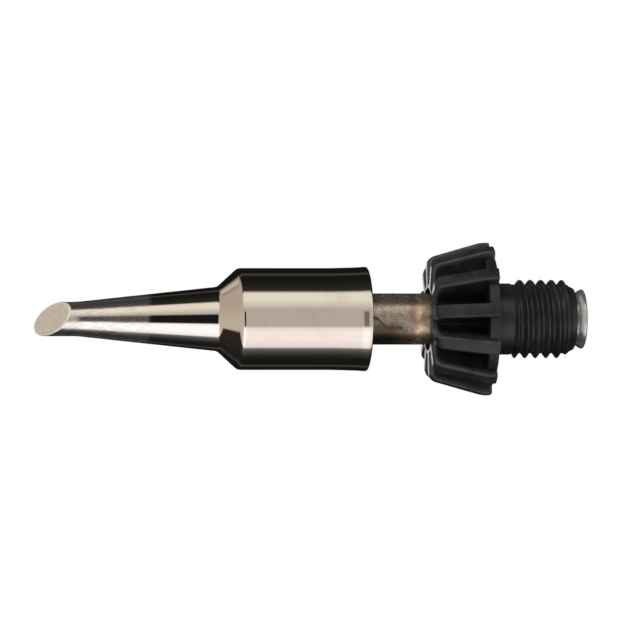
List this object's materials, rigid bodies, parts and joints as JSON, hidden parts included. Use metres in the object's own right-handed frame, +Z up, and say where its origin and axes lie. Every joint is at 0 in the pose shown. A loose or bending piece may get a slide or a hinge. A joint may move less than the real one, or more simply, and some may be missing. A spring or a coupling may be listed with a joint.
{
  "type": "gas soldering iron tip",
  "caption": "Screw-in bevelled soldering tip with a catalytic burner barrel, a stem tube and a finned black threaded collar that turns on the stem.",
  "frame": {"origin": "centre of the stem tube's flared rear end, on its flat sealing face, where the tip seats in the iron's handle", "axes": "+X along the tube's axis, out of the flared rear end into the handle; the soldering bit points along -X; +Z is up as the tip lies in use, with the bevelled soldering face turned towards -Y and up"},
  "size_m": [0.085, 0.0236, 0.0236],
  "materials": {
    "chromed_copper": "polished plating, tinned towards the bit's end",
    "tinted_steel": "heat-tinted and sooty",
    "stainless": "satin",
    "spring_steel": "dark satin",
    "black_plastic": "satin moulded",
    "catalyst_fibre": "dull fibrous",
    "ceramic": "unglazed"
  },
  "bodies": {
    "tip_assembly": {"tip_body": "chromed_copper", "chamber_end_cap": "stainless", "front_spacer": "ceramic", "rear_spacer": "ceramic", "catalyst_sleeve": "catalyst_fibre", "catalyst_gauze": "stainless", "diffuser_tube": "stainless", "diffuser_plug": "stainless", "stem_tube": "tinted_steel", "flame_gauze_front": "stainless", "gauze_spacer": "stainless", "flame_gauze_rear": "stainless", "gauze_retainer": "spring_steel", "collar_retaining_ring": "spring_steel"},
    "collar": {"finned_collar": "black_plastic"}
  },
  "joints": [
    {"name": "collar_spin", "type": "hinge", "parent": "tip_assembly", "child": "collar", "pos_m": [-0.012, 0, 0], "axis": [1, 0, 0], "continuous": true}
  ]
}
